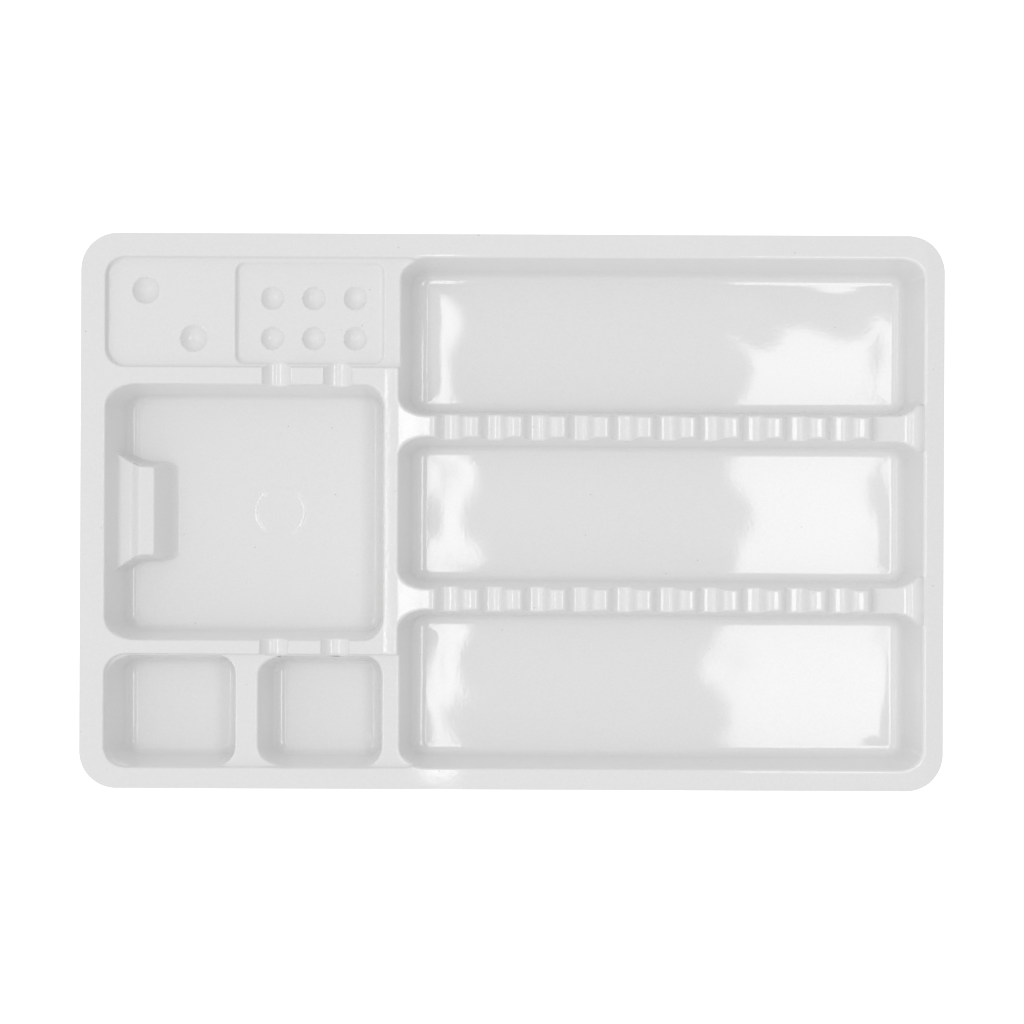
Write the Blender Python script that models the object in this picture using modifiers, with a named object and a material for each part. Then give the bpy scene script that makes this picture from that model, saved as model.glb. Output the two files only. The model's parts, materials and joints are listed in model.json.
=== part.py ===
"""Compartment tray, formed from one thin sheet of white polystyrene.

The tray is a single sheet on the real object. Here it is modelled as its zones: rim bands, decks,
recessed pads, wells, dividers and junctions, each a thin closed solid with a fine seam to the next.
X runs along the tray, Y across it and Z up. The origin is centred under the wells' flat undersides.
"""
import math

import bmesh
import bpy

COLLECTION = "compartment_tray"

# Whole tray, in metres
LENGTH = 0.280
WIDTH = 0.180
HEIGHT = 0.0175
OUTER_RADIUS = 0.012
SHEET = 0.0005
SEAM = 0.0003
DRAFT = math.tan(math.radians(10))
TILT = math.radians(10)

# Lines on the rim's top face
RIM_LEFT = -0.1321
RIM_RIGHT = 0.1335
RIM_TOP = 0.0825
RIM_BOTTOM = -0.0833
DECK_LEFT = -0.0416
DECK_RIGHT = -0.0370
UPPER_DECK = (0.0412, 0.0466)
LOWER_DECK = (-0.0463, -0.0420)
MOUTH_RADIUS = 0.007

# Heights of upper faces above the resting plane
FLOOR = SHEET
RECESS = HEIGHT - 0.0020
SIX_DIMPLE_PAD = HEIGHT - 0.0035
DIVIDER_CREST = HEIGHT - 0.0010
DIVIDER_TROUGH = HEIGHT - 0.0045
LEDGE = 0.0095
LEDGE_LIP = 0.0115
UNDER_DECK = SHEET + SEAM
UNDER_WAVE = 0.0013

# Six-dimple pad and small wells, along X
PAD_SPAN = (-0.0913, -0.0409)
SMALL_WELL_SPANS = ((RIM_LEFT, -0.0895), (-0.0830, -0.0417))

# Dimples: radius of the mouth, depth, and centres
LARGE_DIMPLE = (0.0044, 0.0024)
SMALL_DIMPLE = (0.0038, 0.0022)
LARGE_CENTRES = ((-0.1194, 0.0717), (-0.1038, 0.0561))
SMALL_COLUMNS = (-0.0784, -0.0649, -0.0514)
SMALL_ROWS = (0.0695, 0.0564)

# Instrument notches across the decks
NOTCH_HALF_WIDTH = 0.0047
NOTCH_REACH = 0.0057
NOTCH_DEPTH = 0.0032
UPPER_NOTCHES = (-0.0765, -0.0566)
LOWER_NOTCHES = (-0.0770, -0.0572)

# Dividers between the long wells
DIVIDER_CENTRES = (0.02775, -0.0284)
DIVIDER_HALF_WIDTH = 0.0034
WAVE_PITCH = 0.01409
FIRST_TROUGH = -0.0199
WAVE_COUNT = 10
JUNCTION_END = -0.0285
DIVIDER_FLAT = FIRST_TROUGH + WAVE_COUNT * WAVE_PITCH
DIVIDER_STOP = RIM_RIGHT - (HEIGHT - DIVIDER_TROUGH)

# Ledge in the square well
LEDGE_HALF_TOP = 0.0144
LEDGE_HALF_BASE = 0.0184
LEDGE_FOOT = -0.1088

FILLET = 0.003
CORNER_STEPS = 6
FILLET_STEPS = 3
WAVE_STEPS = 6
DIMPLE_SEGMENTS = 16


def clear_scene():
    for thing in list(bpy.data.objects):
        bpy.data.objects.remove(thing, do_unlink=True)


def make_collection(name):
    group = bpy.data.collections.new(name)
    bpy.context.scene.collection.children.link(group)
    return group


def white_plastic(name):
    material = bpy.data.materials.new(name + "_plastic")
    material.use_nodes = True
    shader = material.node_tree.nodes["Principled BSDF"]
    shader.inputs["Base Color"].default_value = (0.86, 0.86, 0.86, 1.0)
    shader.inputs["Roughness"].default_value = 0.22
    shader.inputs["Metallic"].default_value = 0.0
    return material


def new_object(name, mesh, group):
    item = bpy.data.objects.new(name, mesh)
    group.objects.link(item)
    return item


def add_part(name, mesh, group):
    part = new_object(name, mesh, group)
    part.data.materials.append(white_plastic(name))
    return part


def add_cutter(name, mesh, group):
    cutter = new_object(name, mesh, group)
    cutter.hide_render = True
    cutter.display_type = "WIRE"
    return cutter


def mesh_from(work, name):
    bmesh.ops.recalc_face_normals(work, faces=work.faces)
    mesh = bpy.data.meshes.new(name)
    work.to_mesh(mesh)
    work.free()
    return mesh


def boolean(part, operation, cutter):
    modifier = part.modifiers.new(operation.lower() + "_" + cutter.name, "BOOLEAN")
    modifier.operation = operation
    modifier.solver = "EXACT"
    modifier.object = cutter


def box_mesh(name, low, high):
    work = bmesh.new()
    bmesh.ops.create_cube(work, size=1.0)
    for vertex in work.verts:
        for axis in range(3):
            middle = (low[axis] + high[axis]) / 2
            vertex.co[axis] = middle + vertex.co[axis] * (high[axis] - low[axis])
    return mesh_from(work, name)


def smooth_step(value):
    value = min(max(value, 0.0), 1.0)
    return value * value * (3 - 2 * value)


def arc(centre_x, centre_y, radius, start, stop, steps):
    points = []
    for step in range(steps + 1):
        angle = math.radians(start + (stop - start) * step / steps)
        points.append((centre_x + radius * math.cos(angle), centre_y + radius * math.sin(angle)))
    return points


def wave_stations():
    """X positions along a divider, fine enough for its corrugations."""
    first = FIRST_TROUGH - WAVE_PITCH / 2
    count = round((WAVE_COUNT + 0.5) * WAVE_STEPS)
    return [first + step * WAVE_PITCH / WAVE_STEPS for step in range(count + 1)]


def notch_stations(centres):
    """X positions along a deck, fine enough for its notches."""
    stations = []
    for centre in centres:
        stations += [centre - NOTCH_REACH, centre + NOTCH_REACH]
        for step in range(9):
            stations.append(centre + NOTCH_HALF_WIDTH * math.cos(math.pi * (8 - step) / 8))
    return sorted(stations)


def rounded_outline(box, radius, low_side=(), high_side=()):
    """Points round a rectangle with rounded corners, and extra stations on its two long sides."""
    x0, x1, y0, y1 = box
    points = arc(x0 + radius, y0 + radius, radius, 180, 270, CORNER_STEPS)
    points += [(x, y0) for x in low_side if x0 + radius < x < x1 - radius]
    points += arc(x1 - radius, y0 + radius, radius, 270, 360, CORNER_STEPS)
    points += arc(x1 - radius, y1 - radius, radius, 0, 90, CORNER_STEPS)
    points += [(x, y1) for x in reversed(high_side) if x0 + radius < x < x1 - radius]
    points += arc(x0 + radius, y1 - radius, radius, 90, 180, CORNER_STEPS)
    return points


def inset_point(point, box, radius, inset, ends):
    """Moves an outline point inwards; ends are the factors for the left and right walls."""
    x0, x1, y0, y1 = box
    left, right = ends
    keep = max(1 - inset / radius, 0.12)
    x, y = point
    left_pivot = x0 + radius
    right_pivot = x1 - radius
    new_left = x0 + inset * left + radius * keep
    new_right = x1 - inset * right - radius * keep
    if x <= left_pivot:
        new_x = new_left + (x - left_pivot) * keep
    elif x >= right_pivot:
        new_x = new_right + (x - right_pivot) * keep
    else:
        share = (x - left_pivot) / (right_pivot - left_pivot)
        new_x = new_left + share * (new_right - new_left)
    low_pivot = y0 + radius
    high_pivot = y1 - radius
    new_low = y0 + inset + radius * keep
    new_high = y1 - inset - radius * keep
    if y <= low_pivot:
        new_y = new_low + (y - low_pivot) * keep
    elif y >= high_pivot:
        new_y = new_high + (y - high_pivot) * keep
    else:
        share = (y - low_pivot) / (high_pivot - low_pivot)
        new_y = new_low + share * (new_high - new_low)
    return new_x, new_y


def wall_profile(floor, fillet):
    """Inset and height down a drafted wall and round its fillet to the floor, from the rim level."""
    tangent = floor + fillet * (1 - math.sin(TILT))
    centre = (HEIGHT - tangent) * DRAFT + fillet * math.cos(TILT)
    profile = []
    for step in range(FILLET_STEPS + 1):
        angle = math.pi + TILT + (math.pi / 2 - TILT) * step / FILLET_STEPS
        profile.append((centre + fillet * math.cos(angle), floor + fillet * (1 + math.sin(angle))))
    return profile


def well_mesh(name, box, floor, lip, radius=MOUTH_RADIUS, fillet=FILLET, ends=(1.0, 1.0), sides=((), ())):
    """A thin cup: drafted walls from a lip, a filleted foot and a flat floor.

    The box is the mouth's outline at rim level, and lip gives the height of the wall's top edge.
    """
    outline = rounded_outline(box, radius, sides[0], sides[1])
    inner = wall_profile(floor, fillet)
    outer = wall_profile(floor - SHEET, fillet + SHEET)
    shift = SHEET / math.cos(TILT) * 0.99
    work = bmesh.new()

    def ring(inset_of, height_of):
        points = []
        for x, y in outline:
            height = height_of(x, y)
            inset = inset_of(height)
            new_x, new_y = inset_point((x, y), box, radius, inset, ends)
            points.append(work.verts.new((new_x, new_y, height)))
        return points

    rings = [ring(lambda z: (HEIGHT - z) * DRAFT, lip)]
    for inset, height in inner:
        rings.append(ring(lambda z, s=inset: s, lambda x, y, h=height: h))
    floor_top = rings[-1]
    outside = [ring(lambda z: (HEIGHT - z) * DRAFT - shift, lip)]
    for inset, height in outer:
        lowered = inset - shift if height > floor else inset - SHEET
        outside.append(ring(lambda z, s=lowered: s, lambda x, y, h=height: h))
    rings = list(reversed(rings)) + outside
    count = len(outline)
    for first, second in zip(rings, rings[1:]):
        for index in range(count):
            after = (index + 1) % count
            work.faces.new((first[index], first[after], second[after], second[index]))
    work.faces.new(list(reversed(floor_top)))
    work.faces.new(rings[-1])
    return mesh_from(work, name)


def strip_mesh(name, stations, sides, height):
    """A sheet that follows a profile along X, between two edges across Y."""
    work = bmesh.new()
    rows = []
    for x in stations:
        low, high = sides(x)
        rows.append([work.verts.new((x, low, height(x))), work.verts.new((x, high, height(x)))])
    for first, second in zip(rows, rows[1:]):
        work.faces.new((first[0], second[0], second[1], first[1]))
    mesh = bpy.data.meshes.new(name)
    work.to_mesh(mesh)
    work.free()
    return mesh


def thicken(part):
    modifier = part.modifiers.new("sheet", "SOLIDIFY")
    modifier.thickness = SHEET
    modifier.offset = -1.0
    modifier.use_even_offset = True


def plate(name, points, top, group):
    """A flat piece of the sheet: a 2D outline extruded by the sheet's thickness, made a mesh."""
    curve = bpy.data.curves.new(name + "_outline", "CURVE")
    curve.dimensions = "2D"
    curve.fill_mode = "BOTH"
    curve.extrude = SHEET / 2
    spline = curve.splines.new("POLY")
    spline.points.add(len(points) - 1)
    for slot, (x, y) in zip(spline.points, points):
        slot.co = (x, y, 0.0, 1.0)
    spline.use_cyclic_u = True
    source = new_object(name + "_outline", curve, group)
    source.location.z = top - SHEET / 2
    bpy.context.view_layer.update()
    mesh = bpy.data.meshes.new_from_object(source.evaluated_get(bpy.context.evaluated_depsgraph_get()))
    mesh.transform(source.matrix_world)
    bpy.data.objects.remove(source, do_unlink=True)
    work = bmesh.new()
    work.from_mesh(mesh)
    bmesh.ops.remove_doubles(work, verts=work.verts, dist=0.00001)
    return add_part(name, mesh_from(work, name), group)


def rim_bands(group):
    """Four straight bands and four corners of the flat rim."""
    half_x = LENGTH / 2
    half_y = WIDTH / 2
    reach = OUTER_RADIUS
    gap = SEAM / 2
    sides = {"left": (-half_x, RIM_LEFT), "right": (RIM_RIGHT, half_x)}
    for side, (x0, x1) in sides.items():
        y0 = -half_y + reach + gap
        y1 = half_y - reach - gap
        plate("rim_" + side, [(x0, y0), (x1, y0), (x1, y1), (x0, y1)], HEIGHT, group)
    for side, (y0, y1) in {"front": (-half_y, RIM_BOTTOM), "back": (RIM_TOP, half_y)}.items():
        x0 = -half_x + reach + gap + 0.003
        x1 = half_x - reach - gap - 0.003
        plate("rim_" + side, [(x0, y0), (x1, y0), (x1, y1), (x0, y1)], HEIGHT, group)
    for end, sign_y, inner_y in (("front", -1, RIM_BOTTOM), ("back", 1, RIM_TOP)):
        for side, sign_x, inner_x in (("left", -1, RIM_LEFT), ("right", 1, RIM_RIGHT)):
            corner = rim_corner(sign_x, sign_y, inner_x, inner_y, half_x, half_y)
            plate("rim_corner_" + end + "_" + side, corner, HEIGHT, group)


def rim_corner(sign_x, sign_y, inner_x, inner_y, half_x, half_y):
    """Outline of a rim corner: a round outside, and the mouth's round corner inside."""
    edge_x = half_x - OUTER_RADIUS - 0.003 + SEAM / 2
    edge_y = half_y - OUTER_RADIUS + SEAM / 2
    centre_x = half_x - OUTER_RADIUS
    centre_y = half_y - OUTER_RADIUS
    inside_x = abs(inner_x) - MOUTH_RADIUS
    inside_y = abs(inner_y) - MOUTH_RADIUS
    points = arc(centre_x, centre_y, OUTER_RADIUS, 1, 90, 8)
    points += [(edge_x, half_y), (edge_x, abs(inner_y))]
    points += [point for point in arc(inside_x, inside_y, MOUTH_RADIUS, 90, 0, CORNER_STEPS)
               if point[0] > edge_x and point[1] > edge_y]
    points += [(abs(inner_x), edge_y), (half_x, edge_y)]
    points = [(x * sign_x, y * sign_y) for x, y in points]
    if sign_x * sign_y < 0:
        points.reverse()
    return points


def notch_height(x, centres, below=0.0):
    """Height along X of a deck with a round notch at each centre, or of a line below its face."""
    inside = (NOTCH_HALF_WIDTH ** 2 + NOTCH_DEPTH ** 2) / (2 * NOTCH_DEPTH)
    radius = inside + below
    height = HEIGHT - below
    for centre in centres:
        away = abs(x - centre)
        if away < radius:
            height = min(height, HEIGHT - NOTCH_DEPTH + inside - math.sqrt(radius ** 2 - away ** 2))
    return height


def decks(group):
    gap = SEAM / 2
    x0 = RIM_LEFT + gap
    for name, span, centres in (("upper_deck", UPPER_DECK, UPPER_NOTCHES),
                                ("lower_deck", LOWER_DECK, LOWER_NOTCHES)):
        stations = [x0] + notch_stations(centres) + [DECK_LEFT - SEAM]
        mesh = strip_mesh(name, stations, lambda x, s=span: s, lambda x, c=centres: notch_height(x, c))
        thicken(add_part(name, mesh, group))
    low = LOWER_DECK[0]
    high = UPPER_DECK[1]
    outline = [(DECK_LEFT, low), (DECK_RIGHT, low), (DECK_RIGHT, high), (DECK_LEFT, high)]
    plate("centre_deck", outline, HEIGHT, group)


def notched_lip(middle, low_notches, high_notches):
    """Lip under the decks, dipping below their notches on the low or the high side."""
    def lip(x, y):
        return notch_height(x, low_notches if y < middle else high_notches, UNDER_DECK)
    return lip


def recess_lip(box, left_low, right_low, base):
    """Rim-level lip on the two long sides, and recess-level lips on the chosen ends."""
    x0, x1, y0, y1 = box

    def lip(x, y):
        from_end = min(y - y0, y1 - y) / MOUTH_RADIUS
        high = base(x, y)
        low = RECESS - UNDER_DECK
        near_left = left_low and x < x0 + MOUTH_RADIUS
        near_right = right_low and x > x1 - MOUTH_RADIUS
        if near_left or near_right:
            return high + (low - high) * smooth_step(from_end * 2.2)
        return high
    return lip


def square_well(group, cutters):
    middle = (UPPER_DECK[0] + LOWER_DECK[1]) / 2
    box = (RIM_LEFT, DECK_LEFT, LOWER_DECK[1], UPPER_DECK[0])
    lip = notched_lip(middle, LOWER_NOTCHES, UPPER_NOTCHES)
    stations = (notch_stations(LOWER_NOTCHES), notch_stations(UPPER_NOTCHES))
    mesh = well_mesh("square_well", box, FLOOR, lip, 0.0078, FILLET, (1.25, 1.0), stations)
    well = add_part("square_well", mesh, group)
    side = LEDGE_HALF_BASE + SEAM
    low = (-LENGTH / 2, -side, -0.002)
    high = (LEDGE_FOOT + SEAM, side, LEDGE - SHEET - SEAM)
    boolean(well, "DIFFERENCE", add_cutter("ledge_gap", box_mesh("ledge_gap", low, high), cutters))
    ledge(group)


def ledge(group):
    """Raised ledge against the square well's left wall, with a lip along its free edge."""
    wall = RIM_LEFT + (HEIGHT - LEDGE) * DRAFT * 1.25 + SEAM
    profile = [(wall, LEDGE), (-0.1262, LEDGE), (-0.1222, LEDGE_LIP), (-0.1172, LEDGE_LIP)]
    profile += [(-0.1140, 0.0033), (-0.1128, 0.0014), (-0.1108, FLOOR), (LEDGE_FOOT, FLOOR)]
    slope = (LEDGE_HALF_BASE - LEDGE_HALF_TOP - 0.001) / LEDGE_LIP
    half = [(LEDGE_HALF_BASE, FLOOR), (LEDGE_HALF_BASE - 0.0012, FLOOR + 0.0012)]
    half += [(LEDGE_HALF_TOP + (LEDGE_LIP - LEDGE) * slope, LEDGE), (LEDGE_HALF_TOP, LEDGE_LIP)]
    across = [(-y, z) for y, z in half] + [(y, z) for y, z in reversed(half)]
    work = bmesh.new()
    rows = [[work.verts.new((x, y, min(z, end))) for y, end in across] for x, z in profile]
    for first, second in zip(rows, rows[1:]):
        for index in range(len(across) - 1):
            work.faces.new((first[index], second[index], second[index + 1], first[index + 1]))
    mesh = bpy.data.meshes.new("instrument_ledge")
    work.to_mesh(mesh)
    work.free()
    thicken(add_part("instrument_ledge", mesh, group))


def small_wells(group):
    low = RIM_BOTTOM
    high = LOWER_DECK[0]
    middle = (low + high) / 2
    for name, span, left_low, notches in (("small_well_left", SMALL_WELL_SPANS[0], False, ()),
                                          ("small_well_right", SMALL_WELL_SPANS[1], True, LOWER_NOTCHES)):
        box = (span[0], span[1], low, high)
        base = notched_lip(middle, (), notches)
        lip = recess_lip(box, left_low, True, base)
        mesh = well_mesh(name, box, FLOOR, lip, MOUTH_RADIUS, FILLET, (1.1, 1.0), ((), notch_stations(notches)))
        add_part(name, mesh, group)
    inset = 0.0006
    spans = (("small_well_web", SMALL_WELL_SPANS[0][1], SMALL_WELL_SPANS[1][0]),
             ("small_well_strip", SMALL_WELL_SPANS[1][1], DECK_RIGHT - 0.0003))
    for name, x0, x1 in spans:
        outline = [(x0, low + inset), (x1, low + inset), (x1, high - inset), (x0, high - inset)]
        plate(name, outline, RECESS, group)


def dimple(pad, name, centre, size, floor, cutters):
    """A round dished dimple: a domed boss under the sheet, hollowed from above."""
    mouth, depth = size
    radius = (mouth ** 2 + depth ** 2) / (2 * depth)
    height = floor + radius - depth
    for role, grow, operation in (("boss", SHEET, "UNION"), ("bowl", 0.0, "DIFFERENCE")):
        work = bmesh.new()
        bmesh.ops.create_uvsphere(work, u_segments=DIMPLE_SEGMENTS, v_segments=14, radius=radius + grow)
        for vertex in work.verts:
            vertex.co.x += centre[0]
            vertex.co.y += centre[1]
            vertex.co.z += height
        cut = floor - SHEET / 2 if role == "boss" else floor + 0.001
        everything = work.verts[:] + work.edges[:] + work.faces[:]
        bmesh.ops.bisect_plane(work, geom=everything, plane_co=(0, 0, cut), plane_no=(0, 0, 1), clear_outer=True)
        edges = [edge for edge in work.edges if edge.is_boundary]
        bmesh.ops.holes_fill(work, edges=edges)
        cutter = add_cutter(name + "_" + role, mesh_from(work, name + "_" + role), cutters)
        boolean(pad, operation, cutter)


def pads(group, cutters):
    low = UPPER_DECK[1]
    high = RIM_TOP
    inset = 0.0006
    outline = [(RIM_LEFT + inset, low + inset), (PAD_SPAN[0], low + inset),
               (PAD_SPAN[0], high - inset), (RIM_LEFT + inset, high - inset)]
    two = plate("pad_two_dimples", outline, RECESS, group)
    for index, centre in enumerate(LARGE_CENTRES):
        dimple(two, "large_dimple_" + str(index + 1), centre, LARGE_DIMPLE, RECESS, cutters)
    box = (PAD_SPAN[0], PAD_SPAN[1], low, high)
    base = notched_lip((low + high) / 2, UPPER_NOTCHES, ())
    lip = recess_lip(box, True, True, base)
    stations = (notch_stations(UPPER_NOTCHES), ())
    mesh = well_mesh("pad_six_dimples", box, SIX_DIMPLE_PAD, lip, 0.0045, 0.0008, (1.0, 1.0), stations)
    six = add_part("pad_six_dimples", mesh, group)
    for column, x in enumerate(SMALL_COLUMNS):
        for row, y in enumerate(SMALL_ROWS):
            name = "small_dimple_" + str(column + 1) + "_" + str(row + 1)
            dimple(six, name, (x, y), SMALL_DIMPLE, SIX_DIMPLE_PAD, cutters)
    x0 = PAD_SPAN[1]
    x1 = DECK_RIGHT - 0.0003
    outline = [(x0, low + inset), (x1, low + inset), (x1, high - inset), (x0, high - inset)]
    plate("pad_strip", outline, RECESS, group)


def ridge_height(x):
    """Height of the top of a divider along X: junction slope, corrugations, flat end and upturn."""
    if x < JUNCTION_END:
        share = (x - DECK_RIGHT) / (JUNCTION_END - DECK_RIGHT)
        return HEIGHT + (DIVIDER_CREST - HEIGHT) * smooth_step(share)
    if x < DIVIDER_FLAT:
        middle = (DIVIDER_CREST + DIVIDER_TROUGH) / 2
        swing = (DIVIDER_CREST - DIVIDER_TROUGH) / 2
        phase = 2 * math.pi * (x - FIRST_TROUGH) / WAVE_PITCH
        started = smooth_step((x - JUNCTION_END) / 0.002)
        return DIVIDER_CREST + started * (middle - swing * math.cos(phase) - DIVIDER_CREST)
    if x < DIVIDER_STOP:
        return DIVIDER_TROUGH
    share = min((x - DIVIDER_STOP) / (RIM_RIGHT - DIVIDER_STOP), 1.0)
    return DIVIDER_TROUGH + (HEIGHT - DIVIDER_TROUGH) * (1 - math.sqrt(1 - share * share))


def ridge_sides(x, centre):
    """Edges of a divider across Y: drafted flanks that flare round the wells' corners."""
    rise = HEIGHT - ridge_height(x)
    half = DIVIDER_HALF_WIDTH - (HEIGHT - DIVIDER_CREST) * DRAFT + rise * DRAFT
    from_end = min(x - DECK_RIGHT, RIM_RIGHT - x)
    short = max(MOUTH_RADIUS - from_end, 0.0)
    flare = MOUTH_RADIUS - math.sqrt(max(MOUTH_RADIUS ** 2 - short ** 2, 0.0))
    return centre - half - flare * 0.8, centre + half + flare * 0.8


def dividers(group):
    spread = [DECK_RIGHT + SEAM + step * (JUNCTION_END - DECK_RIGHT - 2 * SEAM) / 6 for step in range(7)]
    waves = [x for x in wave_stations() if x > JUNCTION_END] + [DIVIDER_STOP]
    rise = [DIVIDER_STOP + (RIM_RIGHT - DIVIDER_STOP - 0.0006) * share for share in (0.3, 0.6, 0.85, 1.0)]
    for name, centre in zip(("upper", "lower"), DIVIDER_CENTRES):
        edges = lambda x, c=centre: ridge_sides(x, c)
        mesh = strip_mesh("junction_" + name, spread, edges, ridge_height)
        thicken(add_part("junction_" + name, mesh, group))
        mesh = strip_mesh("divider_" + name, [JUNCTION_END] + waves + rise, edges, ridge_height)
        thicken(add_part("divider_" + name, mesh, group))


def long_wells(group):
    reach = DIVIDER_HALF_WIDTH - (HEIGHT - DIVIDER_CREST) * DRAFT
    upper, lower = DIVIDER_CENTRES
    spans = {"long_well_back": (upper + reach, RIM_TOP), "long_well_middle": (lower + reach, upper - reach),
             "long_well_front": (RIM_BOTTOM, lower - reach)}
    for name, (y0, y1) in spans.items():
        low_ridge = name != "long_well_front"
        high_ridge = name != "long_well_back"
        middle = (y0 + y1) / 2

        def lip(x, y, low=low_ridge, high=high_ridge, centre=middle, bottom=y0, top=y1):
            beside = low if y < centre else high
            from_side = min(y - bottom, top - y)
            if beside and from_side < MOUTH_RADIUS * 0.99:
                return min(ridge_height(x) - UNDER_WAVE, HEIGHT - UNDER_DECK)
            return HEIGHT - UNDER_DECK

        ridge_line = wave_stations()
        sides = (ridge_line if low_ridge else (), ridge_line if high_ridge else ())
        box = (DECK_RIGHT, RIM_RIGHT, y0, y1)
        mesh = well_mesh(name, box, FLOOR, lip, MOUTH_RADIUS, FILLET, (1.4, 1.16), sides)
        add_part(name, mesh, group)


def build():
    clear_scene()
    group = make_collection(COLLECTION)
    cutters = make_collection("cutters")
    rim_bands(group)
    decks(group)
    pads(group, cutters)
    square_well(group, cutters)
    small_wells(group)
    long_wells(group)
    dividers(group)


build()
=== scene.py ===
"""Looks for the compartment tray: one thin formed sheet of glossy white polystyrene.

The sheet's upper face is a height field worked out from pockets, decks, ridges and dimples, in
millimetres. It is meshed zone by zone, with an underside one sheet thickness below.
"""
import json
import math

import bpy
import numpy as np
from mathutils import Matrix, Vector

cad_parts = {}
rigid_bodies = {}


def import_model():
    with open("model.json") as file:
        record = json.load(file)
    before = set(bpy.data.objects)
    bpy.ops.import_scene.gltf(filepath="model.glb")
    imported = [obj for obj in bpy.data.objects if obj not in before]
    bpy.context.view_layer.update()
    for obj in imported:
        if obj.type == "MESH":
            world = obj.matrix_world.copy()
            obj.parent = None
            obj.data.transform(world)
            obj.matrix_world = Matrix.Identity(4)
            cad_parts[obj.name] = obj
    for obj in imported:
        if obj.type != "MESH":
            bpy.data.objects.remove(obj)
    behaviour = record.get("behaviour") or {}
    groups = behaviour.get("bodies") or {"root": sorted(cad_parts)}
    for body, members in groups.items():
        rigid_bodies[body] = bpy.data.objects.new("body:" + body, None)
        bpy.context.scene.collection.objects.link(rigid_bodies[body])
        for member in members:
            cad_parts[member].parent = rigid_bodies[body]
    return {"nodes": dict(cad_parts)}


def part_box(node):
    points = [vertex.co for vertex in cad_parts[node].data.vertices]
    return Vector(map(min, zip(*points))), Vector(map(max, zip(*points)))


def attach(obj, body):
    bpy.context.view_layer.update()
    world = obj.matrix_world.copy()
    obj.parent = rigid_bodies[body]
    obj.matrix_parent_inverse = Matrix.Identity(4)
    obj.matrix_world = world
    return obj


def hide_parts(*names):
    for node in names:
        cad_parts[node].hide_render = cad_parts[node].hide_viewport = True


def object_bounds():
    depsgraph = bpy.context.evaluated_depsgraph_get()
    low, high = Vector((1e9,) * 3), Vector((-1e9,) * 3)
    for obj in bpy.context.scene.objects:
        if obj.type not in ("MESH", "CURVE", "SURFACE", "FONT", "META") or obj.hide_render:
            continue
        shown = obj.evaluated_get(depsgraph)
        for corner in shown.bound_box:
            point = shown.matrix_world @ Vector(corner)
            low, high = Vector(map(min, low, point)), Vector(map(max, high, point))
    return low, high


MM = 0.001

# The sheet, in millimetres: thickness, rolled lips, trimmed edge and the outline's corners
SHEET = 0.5
LIP_RADIUS = 0.75
TRIM_RADIUS = 0.15
OUTER_RADIUS = 12.0
RIM_DROOP = 0.06
FLOOR = SHEET

# Walls: draft in degrees, and how much wider than that each side's wall is (left, right, low, high)
DRAFT = 10.0
EVEN = (1.0, 1.0, 1.0, 1.0)
LONG_STRETCH = (1.45, 1.18, 1.0, 1.0)
LEFT_STRETCH = (1.35, 0.85, 1.0, 1.0)

# Wells: corner radius and foot fillet
LONG_WELL = (6.6, 3.4)
SQUARE_WELL = (7.6, 3.0)
SMALL_WELL = (7.0, 3.4)
SMALL_WELL_GAP = 0.3

# Recesses: corner radius, depth, draft, foot fillet, lip
PAD_RECESS = (6.5, 2.0, DRAFT, 1.2, 0.6)
SMALL_RECESS = (7.0, 2.0, DRAFT, 0.8, 0.5)
SIX_RECESS = (4.2, 3.5, 25.0, 1.6, 0.8)
SIX_GAPS = (0.2, 0.5)
RECESS_REACH = 9.0

# Dividers: width, wave, junction with the centre deck, and the sweep up to the rim
DIVIDER_HALF = 3.25
DECK_DISH = 0.07
DISH_REACH = 12.0
CREST_DROP = 0.25
TROUGH_DROP = 5.0
WAVE_PITCH = 14.09
FIRST_TROUGH = -20.2
WAVE_COUNT = 10
WAVE_STEEPNESS = 2.2
JUNCTION_END = -28.4
RIDGE_REACH = 4.5
SWEEP_RADIUS = 4.3
END_TILT = 0.03

# Dimples: radius of the mouth and depth, then their centres
LARGE_DIMPLE = (4.4, 2.9)
SMALL_DIMPLE = (3.8, 2.5)
DIMPLE_BLEND = 0.15
LARGE_CENTRES = ((-119.4, 71.7), (-103.8, 56.1))
SMALL_COLUMNS = (-78.4, -64.9, -51.4)
SMALL_ROWS = (69.5, 56.4)

# Notches across the decks
NOTCH_HALF_WIDTH = 4.7
NOTCH_DEPTH = 3.2
NOTCH_BLEND = 0.25
NOTCH_FADE = 1.8
UPPER_NOTCHES = (-76.5, -56.6)
LOWER_NOTCHES = (-77.0, -57.2)

# Ledge in the square well
LEDGE_LEVEL = 9.5
LEDGE_LIP = 11.6
LEDGE_RAMP = (-125.6, -121.9)
LEDGE_FRONT = -117.4
LEDGE_HALF = 14.6
LEDGE_SLOPE = math.tan(math.radians(66))
LEDGE_CORNER = 1.8
LEDGE_STRETCH = (1.0, 1.0, 0.35, 0.35)
LEDGE_FLARE = 6.5
LEDGE_NECK = -120.5
LEDGE_EDGE_BLEND = 1.0
LEDGE_FOOT_BLEND = 3.4

# Plain raised ring on the square well's floor
RING_CENTRE = (-77.5, 0.0)
RING_RADIUS = 8.0
RING_WIDTH = 0.4
RING_RISE = 0.12

# Unevenness of the floors: heights of its two waves, and where it starts inside a wall
SLOW_WARP = 0.10
QUICK_WARP = 0.045
WARP_START = 3.5
WARP_BLEND = 6.0

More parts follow.
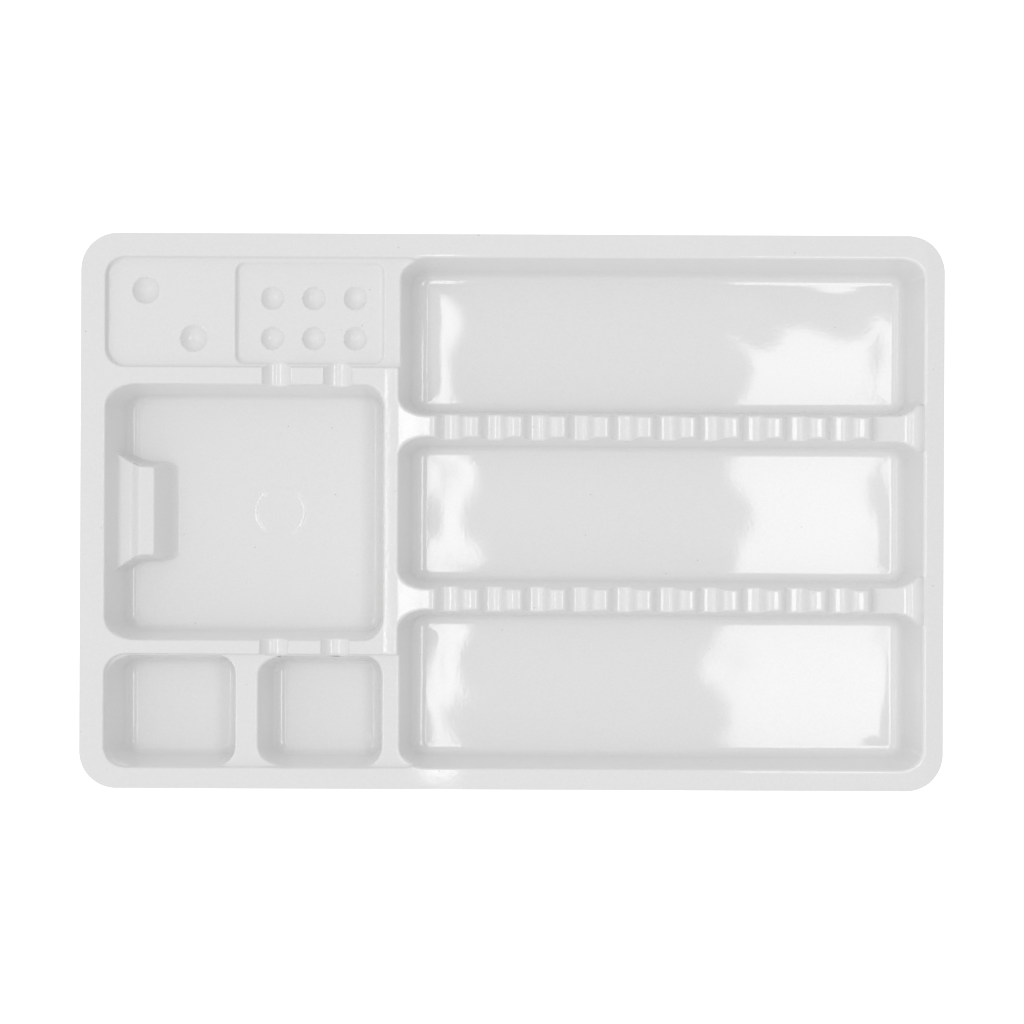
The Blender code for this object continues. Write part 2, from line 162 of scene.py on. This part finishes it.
# Grid spacings
COARSE = 2.5
DIVIDER_STEP = 0.7
LEDGE_STEP = 0.6
RING_STEP = 0.5
FINE = 0.45
DIMPLE_STEP = 0.4
LIP_STEP = 0.24
LIP_ZONE = 1.0
WALL_ZONE = 9.0
RIDGE_ZONE = 8.0
PAD_ZONE = 6.0
RIM_MARGIN = 1.6
RIM_SHARES = (0.3, 0.6, 0.85)
SLOPE_STEP = 0.02

# Studio, in metres: soft sky, ceiling strips (name, place, size, radiance), table and camera
SKY = 0.722
SKY_LEAN = (-0.19, -0.03, 0.0)
SKY_SPREAD = (-0.24, 0.18, 0.0)
STRIP_HEIGHT = 0.5
STRIPS = (
    ("strip_right", (0.203, -0.008), (0.105, 0.29), 3.7),
    ("strip_middle", (-0.047, -0.002), (0.022, 0.33), 4.8),
    ("strip_left", (-0.330, -0.010), (0.045, 0.42), 6.0),
)
TABLE_HALF = 3.0
TABLE_DROP = 0.0003
TABLE_WHITE = (0.9, 0.9, 0.9, 1)
TABLE_GLOW = 0.47
CAMERA_HEIGHT = 0.4865
CAMERA_FOOT = -0.0087
CAMERA_ROLL = 0.25
CAMERA_LENS = 52.8
CAMERA_SENSOR = 36.0


def node_box(name):
    """A CAD node's box in millimetres."""
    low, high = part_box(name)
    return [value / MM for value in low], [value / MM for value in high]


def soft_min(first, second, reach):
    """The lower of two surfaces, rounded where they cross."""
    share = np.clip(0.5 + 0.5 * (second - first) / reach, 0.0, 1.0)
    return second * (1 - share) + first * share - reach * share * (1 - share)


def soft_max(first, second, reach):
    """The higher of two surfaces, rounded where they cross."""
    return -soft_min(-first, -second, reach)


def smooth_step(value):
    """Eases from 0 to 1."""
    value = np.clip(value, 0.0, 1.0)
    return value * value * (3 - 2 * value)


def inset(x, y, box, radius, stretch):
    """How far a point is inside a rounded rectangle, with its own stretch for each side."""
    x0, x1, y0, y1 = box
    left, right, low, high = stretch
    across = np.minimum((x - x0) / left, (x1 - x) / right)
    along = np.minimum((y - y0) / low, (y1 - y) / high)
    first = radius - across
    second = radius - along
    outside = np.hypot(np.maximum(first, 0), np.maximum(second, 0))
    return radius - outside - np.minimum(np.maximum(first, second), 0)


def foot(depth_in, top, floor, draft, fillet):
    """Height of a drafted wall, its foot fillet and the floor, at a distance inside the outline."""
    angle = math.radians(draft)
    tangent = floor + fillet * (1 - math.sin(angle))
    centre = (top - tangent) * math.tan(angle) + fillet * math.cos(angle)
    wall = top - depth_in / math.tan(angle)
    curve = floor + fillet - np.sqrt(np.maximum(fillet ** 2 - (depth_in - centre) ** 2, 0.0))
    height = np.where(wall > tangent, wall, curve)
    return np.where(depth_in > centre, floor, height)


def press(surface, depth_in, floor, draft, fillet, lip):
    """Presses a pocket into a surface: a rolled lip, then the wall, fillet and floor."""
    angle = math.radians(draft)
    turn = math.pi / 2 - angle
    lead = lip * math.tan(turn / 2)
    past = depth_in - (TOP - surface) * math.tan(angle)
    roll = -lip + np.sqrt(np.maximum(lip ** 2 - np.clip(past + lead, 0.0, lip) ** 2, 0.0))
    pocket = foot(depth_in, TOP, floor, draft, fillet)
    bite = np.clip((surface - floor) / (2 * lip), 0.0, 1.0)
    rolled = surface + roll * bite
    inside = past > lip * math.sin(turn) - lead
    return np.where(inside, np.minimum(pocket, surface), rolled)


def wave(x):
    """Depth of a divider's wave below its crests: rounded crests and troughs with steep flanks."""
    drop = TROUGH_DROP - CREST_DROP
    turn = np.cos(2 * math.pi * (x - FIRST_TROUGH) / WAVE_PITCH)
    return drop / 2 * (1 + np.tanh(WAVE_STEEPNESS * turn) / math.tanh(WAVE_STEEPNESS))


def deck_dish(x):
    """How far the centre deck sinks towards the long wells."""
    share = np.clip((x - DECK_LEFT) / (DECK_RIGHT - DECK_LEFT), 0.0, 1.0)
    return DECK_DISH * (1 - (1 - share) ** 2)


def ridge(x):
    """Height of a divider's top along X."""
    crest = TOP - CREST_DROP
    share = np.clip((x - DECK_RIGHT) / (JUNCTION_END - DECK_RIGHT), 0.0, 1.0)
    junction = TOP - deck_dish(x) - (CREST_DROP - DECK_DISH) * share
    body = crest - wave(x)
    last_trough = FIRST_TROUGH + WAVE_COUNT * WAVE_PITCH
    trough = TOP - TROUGH_DROP
    end = foot((RIM_RIGHT - x) / LONG_STRETCH[1], TOP, trough, DRAFT, SWEEP_RADIUS)
    end = end + END_TILT * np.maximum(RIM_RIGHT - SWEEP_RADIUS - x, 0.0)
    height = np.where(x < FIRST_TROUGH - WAVE_PITCH / 2, junction, body)
    return np.where(x > last_trough, end, height)


def notches(x, centres):
    """Depth of the half-round notches along a deck."""
    radius = (NOTCH_HALF_WIDTH ** 2 + NOTCH_DEPTH ** 2) / (2 * NOTCH_DEPTH)
    depth = np.zeros_like(x)
    for centre in centres:
        away = np.minimum(np.abs(x - centre), radius)
        bowl = np.sqrt(radius ** 2 - away ** 2) - radius + NOTCH_DEPTH
        depth = np.maximum(depth, soft_max(bowl, np.zeros_like(x), NOTCH_BLEND))
    return depth


def dimple(x, y, centre, size):
    """Depth of a round dimple, part of a sphere."""
    radius, depth = size
    sphere = (radius ** 2 + depth ** 2) / (2 * depth)
    away = np.minimum(np.hypot(x - centre[0], y - centre[1]), sphere)
    bowl = np.sqrt(sphere ** 2 - away ** 2) - sphere + depth
    near = away < radius + 2.0
    return soft_max(bowl, np.zeros_like(x), DIMPLE_BLEND) * near


def decks(x, y):
    """Rim level, recesses, pads, notches and ridges, before the deep wells."""
    surface = TOP - RIM_DROOP * np.maximum(x - RIM_RIGHT - 1.0, 0.0)
    upper_strip = (y > UPPER_DECK[0] - 6) & (y < UPPER_DECK[1] + 3)
    lower_strip = (y > LOWER_DECK[0] - 3) & (y < LOWER_DECK[1] + 6)
    surface -= np.where(upper_strip, notches(x, UPPER_NOTCHES), 0.0)
    fade = smooth_step((y - LOWER_DECK[0] + NOTCH_FADE) / NOTCH_FADE)
    surface -= np.where(lower_strip, notches(x, LOWER_NOTCHES) * fade, 0.0)
    on_deck = (y > LOWER_DECK[0]) & (y < UPPER_DECK[1]) & (x > DECK_LEFT) & (x < DECK_RIGHT + DISH_REACH)
    surface -= np.where(on_deck, deck_dish(x), 0.0)
    open_side = DECK_RIGHT + RECESS_REACH
    recesses = (
        ((RIM_LEFT, open_side, UPPER_DECK[1], RIM_TOP), PAD_RECESS),
        ((RIM_LEFT, open_side, RIM_BOTTOM, LOWER_DECK[0]), SMALL_RECESS),
        ((PAD_LEFT, PAD_RIGHT, UPPER_DECK[1] + SIX_GAPS[0], RIM_TOP - SIX_GAPS[1]), SIX_RECESS),
    )
    for box, (corner, depth, draft, fillet, lip) in recesses:
        depth_in = inset(x, y, box, corner, EVEN)
        surface = press(surface, depth_in, TOP - depth, draft, fillet, lip)
    for centre in LARGE_CENTRES:
        surface -= dimple(x, y, centre, LARGE_DIMPLE)
    for column in SMALL_COLUMNS:
        for row in SMALL_ROWS:
            surface -= dimple(x, y, (column, row), SMALL_DIMPLE)
    for low, high in DIVIDERS:
        beside = (y > low - RIDGE_REACH) & (y < high + RIDGE_REACH)
        between = (x > DECK_RIGHT) & (x < RIM_RIGHT)
        surface = np.where(beside & between, ridge(x), surface)
    return surface


def ledge(x, y, pocket):
    """Raises the instrument ledge from the square well's floor and outer wall."""
    climb = smooth_step((x - LEDGE_RAMP[0]) / (LEDGE_RAMP[1] - LEDGE_RAMP[0]))
    top = LEDGE_LEVEL + (LEDGE_LIP - LEDGE_LEVEL) * climb
    box = (RIM_LEFT - 20, LEDGE_FRONT, -LEDGE_HALF, LEDGE_HALF)
    flare = LEDGE_FLARE * np.clip((LEDGE_NECK - x) / (LEDGE_NECK - RIM_LEFT), 0.0, 1.0) ** 2
    narrowed = np.sign(y) * np.maximum(np.abs(y) - flare, 0.0)
    flank = LEDGE_LIP + inset(x, narrowed, box, LEDGE_CORNER, LEDGE_STRETCH) * LEDGE_SLOPE
    return soft_max(pocket, soft_min(top, flank, LEDGE_EDGE_BLEND), LEDGE_FOOT_BLEND)


def warp(x, y):
    """The slow unevenness of a formed sheet."""
    slow = np.sin(x * 0.061 + y * 0.035 + 1.3) + 0.7 * np.sin(x * 0.043 - y * 0.091 + 2.0)
    quick = np.sin(x * 0.17 + y * 0.11 + 0.6) * np.sin(y * 0.15 + 0.4)
    quick += 0.5 * np.sin(x * 0.24 - y * 0.13)
    return SLOW_WARP * slow + QUICK_WARP * quick


def ring(x, y):
    """A plain raised ring on the square well's floor."""
    away = np.hypot(x - RING_CENTRE[0], y - RING_CENTRE[1]) - RING_RADIUS
    return RING_RISE * np.exp(-(away / RING_WIDTH) ** 2)


def wells():
    """Each well's box, corner radius and foot fillet, stretch, and whether it has the ledge."""
    square = (RIM_LEFT, DECK_LEFT, LOWER_DECK[1], UPPER_DECK[0])
    found = [((DECK_RIGHT, RIM_RIGHT, low, high), LONG_WELL, LONG_STRETCH, False) for low, high in LONG_SPANS]
    found.append((square, SQUARE_WELL, LEFT_STRETCH, True))
    found += [((x0, x1, RIM_BOTTOM, SMALL_TOP), SMALL_WELL, LEFT_STRETCH, False) for x0, x1 in SMALL_SPANS]
    return found


def sheet_height(x, y):
    """Height of the sheet's upper face."""
    surface = decks(x, y)
    height = surface
    uneven = warp(x, y) + ring(x, y)
    for box, (corner, fillet), stretch, has_ledge in wells():
        depth_in = inset(x, y, box, corner, stretch)
        pocket = press(surface, depth_in, FLOOR, DRAFT, fillet, LIP_RADIUS)
        pocket = pocket + uneven * smooth_step((depth_in - WARP_START) / WARP_BLEND)
        if has_ledge:
            pocket = np.where(depth_in > -1.0, ledge(x, y, pocket), pocket)
        height = np.where(depth_in > -LIP_RADIUS, np.minimum(height, pocket), height)
    return height


def spaced(stops):
    """Grid lines: each stop is (position, spacing up to the next stop)."""
    lines = []
    for (start, step), (stop, _) in zip(stops, stops[1:]):
        count = max(int(math.ceil((stop - start) / step - 1e-6)), 1)
        lines += [start + (stop - start) * index / count for index in range(count)]
    return np.array(lines + [stops[-1][0]])


def grid_lines(low, high, walls, ranges, cuts):
    """Lines from low to high: fine beside each wall, medium in the ranges, coarse elsewhere."""
    marks = {low, high} | set(cuts)
    for wall, back, forward in walls:
        marks |= {wall - back, wall + forward, wall - LIP_ZONE, wall + LIP_ZONE}
    for first, last, _ in ranges:
        marks |= {first, last}
    marks = sorted(m for m in marks if low <= m <= high)
    stops = []
    for first, last in zip(marks, marks[1:]):
        if last - first < 1e-4:
            continue
        middle = (first + last) / 2
        step = COARSE
        for start, stop, fine in ranges:
            if start < middle < stop:
                step = min(step, fine)
        for wall, back, forward in walls:
            if wall - back < middle < wall + forward:
                step = min(step, LIP_STEP if abs(middle - wall) < LIP_ZONE else FINE)
        stops.append((first, step))
    return spaced(stops + [(high, 1.0)])


def outline_point(x, y, x0, x1, y0, y1):
    """Where a point on the inner rectangle's edge goes on the tray's rounded outline."""
    half_x, half_y = LENGTH / 2 - OUTER_RADIUS, WIDTH / 2 - OUTER_RADIUS
    on_x_side = min(abs(x - x0), abs(x - x1)) < 1e-6
    if abs(x) <= half_x and not on_x_side:
        return x, math.copysign(WIDTH / 2, y)
    if abs(y) <= half_y and on_x_side:
        return math.copysign(LENGTH / 2, x), y
    reach_x = (x1 if x > 0 else -x0) - half_x
    reach_y = (y1 if y > 0 else -y0) - half_y
    if on_x_side:
        share = 0.5 * (abs(y) - half_y) / reach_y
    else:
        share = 1.0 - 0.5 * (abs(x) - half_x) / reach_x
    angle = share * math.pi / 2
    return (math.copysign(half_x + OUTER_RADIUS * math.cos(angle), x),
            math.copysign(half_y + OUTER_RADIUS * math.sin(angle), y))


def zone_of(x, y):
    """The name of the tray's zone for each point."""
    zone = np.full(x.shape, "rim", dtype=object)
    inner = (x > RIM_LEFT) & (x < RIM_RIGHT) & (y > RIM_BOTTOM) & (y < RIM_TOP)
    left = inner & (x < DECK_RIGHT)
    zone[left] = "decks"
    zone[left & (y > UPPER_DECK[1]) & (x < PAD_LEFT)] = "pad_two"
    zone[left & (y > UPPER_DECK[1]) & (x > PAD_LEFT)] = "pad_six"
    zone[left & (y < UPPER_DECK[0]) & (y > LOWER_DECK[1]) & (x < DECK_LEFT)] = "square"
    zone[left & (y < LOWER_DECK[0])] = "small_wells"
    right = inner & (x > DECK_RIGHT)
    ridge_names = ("divider_upper", "divider_lower")
    for name, (low, high) in zip(ZONE_WELLS, LONG_SPANS):
        zone[right & (y > low) & (y < high)] = name
    for name, (low, high) in zip(ridge_names, DIVIDERS):
        between = right & (y > low) & (y < high)
        zone[between] = name
        zone[between & (x < JUNCTION_END)] = "decks"
    return zone


def sheet_points():
    """Grid points and rim rings: plan positions and quads."""
    lip, wall = LIP_ZONE, WALL_ZONE
    x_walls = [(RIM_LEFT, lip, wall), (RIM_RIGHT, wall, lip), (DECK_LEFT, wall, lip),
               (DECK_RIGHT, lip, wall), (SMALL_SPANS[0][1], RIDGE_ZONE, lip), (SMALL_SPANS[1][0], lip, wall),
               (PAD_LEFT, 0.8 * lip, PAD_ZONE), (PAD_RIGHT, PAD_ZONE, 0.8 * lip)]
    y_walls = [(RIM_TOP, wall, lip), (RIM_BOTTOM, lip, wall), (UPPER_DECK[0], wall, lip),
               (UPPER_DECK[1], lip, PAD_ZONE), (LOWER_DECK[1], lip, wall), (SMALL_TOP, wall, lip)]
    y_walls += [(high, lip, RIDGE_ZONE) for low, high in DIVIDERS]
    y_walls += [(low, RIDGE_ZONE, lip) for low, high in DIVIDERS]
    ring_reach = RING_RADIUS + 3 * RING_WIDTH
    x_ranges = [(DECK_RIGHT, 125.0, DIVIDER_STEP),
                (LARGE_CENTRES[0][0] - 5, LARGE_CENTRES[1][0] + 5, DIMPLE_STEP),
                (SMALL_COLUMNS[0] - 5, SMALL_COLUMNS[2] + 5, DIMPLE_STEP),
                (LEDGE_RAMP[0] - 4, LEDGE_FRONT + 10, LEDGE_STEP),
                (RING_CENTRE[0] - ring_reach, RING_CENTRE[0] + ring_reach, RING_STEP)]
    y_ranges = [(SMALL_ROWS[1] - 5, LARGE_CENTRES[0][1] + 5, DIMPLE_STEP),
                (DIVIDERS[0][0], DIVIDERS[0][1], LEDGE_STEP), (DIVIDERS[1][0], DIVIDERS[1][1], LEDGE_STEP),
                (-LEDGE_HALF - 7, -LEDGE_HALF + 4, LEDGE_STEP), (LEDGE_HALF - 4, LEDGE_HALF + 7, LEDGE_STEP),
                (-ring_reach, ring_reach, RING_STEP)]
    x_cuts = (RIM_LEFT, RIM_RIGHT, DECK_LEFT, DECK_RIGHT, PAD_LEFT, JUNCTION_END)
    y_cuts = (RIM_TOP, RIM_BOTTOM) + UPPER_DECK + LOWER_DECK + DIVIDERS[0] + DIVIDERS[1]
    xs = grid_lines(RIM_LEFT - RIM_MARGIN, RIM_RIGHT + RIM_MARGIN, x_walls, x_ranges, x_cuts)
    ys = grid_lines(RIM_BOTTOM - RIM_MARGIN, RIM_TOP + RIM_MARGIN, y_walls, y_ranges, y_cuts)
    columns, rows = len(xs), len(ys)
    grid_x, grid_y = np.meshgrid(xs, ys)
    points = np.stack([grid_x.ravel(), grid_y.ravel()], 1)
    index = np.arange(columns * rows).reshape(rows, columns)
    quads = np.stack([index[:-1, :-1], index[:-1, 1:], index[1:, 1:], index[1:, :-1]], -1).reshape(-1, 4)
    loop = np.concatenate([index[0, :-1], index[:-1, -1], index[-1, :0:-1], index[:0:-1, 0]])
    inner = points[loop]
    x0, x1, y0, y1 = xs[0], xs[-1], ys[0], ys[-1]
    outer = np.array([outline_point(x, y, x0, x1, y0, y1) for x, y in inner])
    outward = outer - inner
    outward /= np.linalg.norm(outward, axis=1)[:, None]
    previous = loop
    places = [inner + (outer - inner) * share for share in RIM_SHARES]
    places += [outer - outward * TRIM_RADIUS, outer - outward * TRIM_RADIUS * 0.3, outer]
    for place in places:
        band = np.arange(len(loop)) + len(points)
        points = np.concatenate([points, place])
        after = np.roll(previous, -1)
        band_after = np.roll(band, -1)
        quads = np.concatenate([quads, np.stack([previous, band, band_after, after], 1)])
        previous = band
    return points, quads, len(loop)


def formed_sheet():
    """Upper points, their normals, lower points and quads."""
    points, quads, trim = sheet_points()
    x, y = points[:, 0], points[:, 1]
    height = sheet_height(x, y)
    step = SLOPE_STEP
    slope_x = (sheet_height(x + step, y) - sheet_height(x - step, y)) / (2 * step)
    slope_y = (sheet_height(x, y + step) - sheet_height(x, y - step)) / (2 * step)
    normals = np.stack([-slope_x, -slope_y, np.ones_like(x)], 1)
    normals /= np.linalg.norm(normals, axis=1)[:, None]
    upper = np.stack([x, y, height], 1)
    upper[-trim:, 2] -= TRIM_RADIUS * 0.8
    upper[-2 * trim:-trim, 2] -= TRIM_RADIUS * 0.25
    lower = upper - normals * SHEET
    lower[-trim:, :2] = upper[-trim:, :2]
    lower[-trim:, 2] = upper[-2 * trim:-trim, 2] - SHEET
    lower[:, 2] = np.maximum(lower[:, 2], 0.0)
    return upper, normals, lower, quads


def piece_mesh(name, upper, normals, lower, quads):
    """A closed shell from some of the sheet's quads: both faces and the edge between them."""
    used, local = np.unique(quads, return_inverse=True)
    local = local.reshape(-1, 4)
    count = len(used)
    edges = np.concatenate([local[:, [side, (side + 1) % 4]] for side in range(4)])
    keys = edges.min(1) * count + edges.max(1)
    _, first, times = np.unique(keys, return_index=True, return_counts=True)
    border = edges[first[times == 1]]
    walls = np.stack([border[:, 1], border[:, 0], border[:, 0] + count, border[:, 1] + count], 1)
    faces = np.concatenate([local, local[:, ::-1] + count, walls])
    places = np.concatenate([upper[used], lower[used]]) * MM
    mesh = bpy.data.meshes.new(name)
    mesh.from_pydata(places.tolist(), [], faces.tolist())
    facing = np.concatenate([normals[used], -normals[used]])
    loops = facing[faces.ravel()]
    corners = places[walls]
    across = np.cross(corners[:, 1] - corners[:, 0], corners[:, 3] - corners[:, 0])
    across /= np.maximum(np.linalg.norm(across, axis=1)[:, None], 1e-12)
    loops[-4 * len(walls):] = np.repeat(across, 4, axis=0)
    mesh.shade_smooth()
    mesh.normals_split_custom_set(loops.tolist())
    mesh.update()
    piece = bpy.data.objects.new(name, mesh)
    bpy.context.scene.collection.objects.link(piece)
    return piece


def polystyrene():
    """Glossy white polystyrene: faint mottling, dust specks, a fine orange peel and slight haze."""
    material = bpy.data.materials.new("tray_plastic")
    material.use_nodes = True
    nodes, links = material.node_tree.nodes, material.node_tree.links
    shader = nodes["Principled BSDF"]
    shader.inputs["IOR"].default_value = 1.57
    place = nodes.new("ShaderNodeTexCoord")

    def noise(scale, detail, roughness=0.5):
        node = nodes.new("ShaderNodeTexNoise")
        node.inputs["Scale"].default_value = scale
        node.inputs["Detail"].default_value = detail
        node.inputs["Roughness"].default_value = roughness
        links.new(place.outputs["Object"], node.inputs["Vector"])
        return node

    def ramp(source, stops):
        node = nodes.new("ShaderNodeValToRGB")
        node.color_ramp.elements[0].position = stops[0][0]
        node.color_ramp.elements[0].color = stops[0][1]
        node.color_ramp.elements[1].position = stops[-1][0]
        node.color_ramp.elements[1].color = stops[-1][1]
        links.new(source, node.inputs["Fac"])
        return node

    grain = noise(1400.0, 3.0, 0.7)
    tint = ramp(grain.outputs["Fac"], ((0.3, (0.82, 0.82, 0.82, 1)), (0.7, (0.86, 0.86, 0.857, 1))))
    specks = nodes.new("ShaderNodeTexVoronoi")
    specks.inputs["Scale"].default_value = 130.0
    links.new(place.outputs["Object"], specks.inputs["Vector"])
    dust = ramp(specks.outputs["Distance"], ((0.012, (0.55, 0.54, 0.52, 1)), (0.032, (1, 1, 1, 1))))
    mix = nodes.new("ShaderNodeMix")
    mix.data_type = "RGBA"
    mix.blend_type = "MULTIPLY"
    mix.inputs["Factor"].default_value = 1.0
    links.new(tint.outputs["Color"], mix.inputs["A"])
    links.new(dust.outputs["Color"], mix.inputs["B"])
    links.new(mix.outputs["Result"], shader.inputs["Base Color"])
    haze_stops = ((0.35, (0.05, 0.05, 0.05, 1)), (0.7, (0.08, 0.08, 0.08, 1)))
    haze = ramp(noise(45.0, 2.0).outputs["Fac"], haze_stops)
    links.new(haze.outputs["Color"], shader.inputs["Roughness"])
    peel = nodes.new("ShaderNodeBump")
    peel.inputs["Strength"].default_value = 0.05
    peel.inputs["Distance"].default_value = 0.0002
    links.new(noise(900.0, 2.0).outputs["Fac"], peel.inputs["Height"])
    links.new(peel.outputs["Normal"], shader.inputs["Normal"])
    return material


def backdrop():
    """A plain white table."""
    half = TABLE_HALF
    corners = [(-half, -half, 0), (half, -half, 0), (half, half, 0), (-half, half, 0)]
    mesh = bpy.data.meshes.new("table")
    mesh.from_pydata(corners, [], [(0, 1, 2, 3)])
    table = bpy.data.objects.new("table", mesh)
    bpy.context.scene.collection.objects.link(table)
    table.location.z = -TABLE_DROP
    material = bpy.data.materials.new("table_white")
    material.use_nodes = True
    shader = material.node_tree.nodes["Principled BSDF"]
    shader.inputs["Base Color"].default_value = TABLE_WHITE
    shader.inputs["Roughness"].default_value = 0.9
    shader.inputs["Emission Color"].default_value = (1, 1, 1, 1)
    shader.inputs["Emission Strength"].default_value = TABLE_GLOW
    mesh.materials.append(material)


def strip_light(name, place, size, radiance):
    """A long soft light in the ceiling, facing down."""
    data = bpy.data.lights.new(name, "AREA")
    data.shape = "RECTANGLE"
    data.size, data.size_y = size
    data.energy = radiance * math.pi * size[0] * size[1]
    light = bpy.data.objects.new(name, data)
    light.location = (*place, TOP * MM + STRIP_HEIGHT)
    bpy.context.scene.collection.objects.link(light)


def sky():
    """An even white sky that is a little brighter on one side."""
    world = bpy.data.worlds.new("studio")
    world.use_nodes = True
    nodes, links = world.node_tree.nodes, world.node_tree.links
    background = nodes["Background"]
    background.inputs["Color"].default_value = (1, 1, 1, 1)
    place = nodes.new("ShaderNodeTexCoord")
    lean = nodes.new("ShaderNodeVectorMath")
    lean.operation = "DOT_PRODUCT"
    lean.inputs[1].default_value = SKY_LEAN
    squares = nodes.new("ShaderNodeVectorMath")
    squares.operation = "MULTIPLY"
    spread = nodes.new("ShaderNodeVectorMath")
    spread.operation = "DOT_PRODUCT"
    spread.inputs[1].default_value = SKY_SPREAD
    both = nodes.new("ShaderNodeMath")
    level = nodes.new("ShaderNodeMath")
    level.inputs[1].default_value = SKY
    links.new(place.outputs["Generated"], lean.inputs[0])
    links.new(place.outputs["Generated"], squares.inputs[0])
    links.new(place.outputs["Generated"], squares.inputs[1])
    links.new(squares.outputs["Vector"], spread.inputs[0])
    links.new(lean.outputs["Value"], both.inputs[0])
    links.new(spread.outputs["Value"], both.inputs[1])
    links.new(both.outputs["Value"], level.inputs[0])
    links.new(level.outputs["Value"], background.inputs["Strength"])
    bpy.context.scene.world = world


def camera_above():
    """A camera looking straight down, shifted so that the tray stays centred."""
    data = bpy.data.cameras.new("camera")
    data.lens = CAMERA_LENS
    data.sensor_width = CAMERA_SENSOR
    data.shift_y = -CAMERA_FOOT / (CAMERA_HEIGHT * CAMERA_SENSOR / CAMERA_LENS)
    camera = bpy.data.objects.new("camera", data)
    camera.location = (0, CAMERA_FOOT, TOP * MM + CAMERA_HEIGHT)
    camera.rotation_euler = (0, 0, math.radians(CAMERA_ROLL))
    bpy.context.scene.collection.objects.link(camera)
    bpy.context.scene.camera = camera


for thing in list(bpy.data.objects):
    bpy.data.objects.remove(thing, do_unlink=True)
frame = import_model()
cad_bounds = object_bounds()
LENGTH = (cad_bounds[1][0] - cad_bounds[0][0]) / MM
WIDTH = (cad_bounds[1][1] - cad_bounds[0][1]) / MM
TOP = cad_bounds[1][2] / MM
RIM_LEFT = node_box("rim_left")[1][0]
RIM_RIGHT = node_box("rim_right")[0][0]
RIM_TOP = node_box("rim_back")[0][1]
RIM_BOTTOM = node_box("rim_front")[1][1]
DECK_LEFT, DECK_RIGHT = (corner[0] for corner in node_box("centre_deck"))
UPPER_DECK = tuple(corner[1] for corner in node_box("upper_deck"))
LOWER_DECK = tuple(corner[1] for corner in node_box("lower_deck"))
PAD_LEFT = node_box("pad_two_dimples")[1][0]
PAD_RIGHT = node_box("pad_six_dimples")[1][0]
web_left, web_right = (corner[0] for corner in node_box("small_well_web"))
SMALL_SPANS = ((RIM_LEFT, web_left), (web_right, node_box("small_well_strip")[0][0]))
SMALL_TOP = LOWER_DECK[0] - SMALL_WELL_GAP
DIVIDERS = []
for divider in ("divider_upper", "divider_lower"):
    middle = sum(corner[1] for corner in node_box(divider)) / 2
    DIVIDERS.append((middle - DIVIDER_HALF, middle + DIVIDER_HALF))
LONG_SPANS = ((DIVIDERS[0][1], RIM_TOP), (DIVIDERS[1][1], DIVIDERS[0][0]), (RIM_BOTTOM, DIVIDERS[1][0]))
ZONE_WELLS = ("long_well_back", "long_well_middle", "long_well_front")
ZONES = {
    "rim": [name for name in frame["nodes"] if name.startswith("rim_")],
    "decks": ["upper_deck", "lower_deck", "centre_deck", "junction_upper", "junction_lower"],
    "pad_two": ["pad_two_dimples"],
    "pad_six": ["pad_six_dimples", "pad_strip"],
    "square": ["square_well", "instrument_ledge"],
    "small_wells": ["small_well_left", "small_well_right", "small_well_web", "small_well_strip"],
    "long_well_back": ["long_well_back"],
    "long_well_middle": ["long_well_middle"],
    "long_well_front": ["long_well_front"],
    "divider_upper": ["divider_upper"],
    "divider_lower": ["divider_lower"],
}

upper, normals, lower, quads = formed_sheet()
centres = upper[quads].mean(1)
zones = zone_of(centres[:, 0], centres[:, 1])
plastic = polystyrene()
for zone, nodes in ZONES.items():
    piece = piece_mesh("sheet_" + zone, upper, normals, lower, quads[zones == zone])
    piece.data.materials.append(plastic)
    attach(piece, "root")
    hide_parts(*nodes)
backdrop()
sky()
for strip in STRIPS:
    strip_light(*strip)
bpy.context.scene.view_settings.view_transform = "Standard"
camera_above()
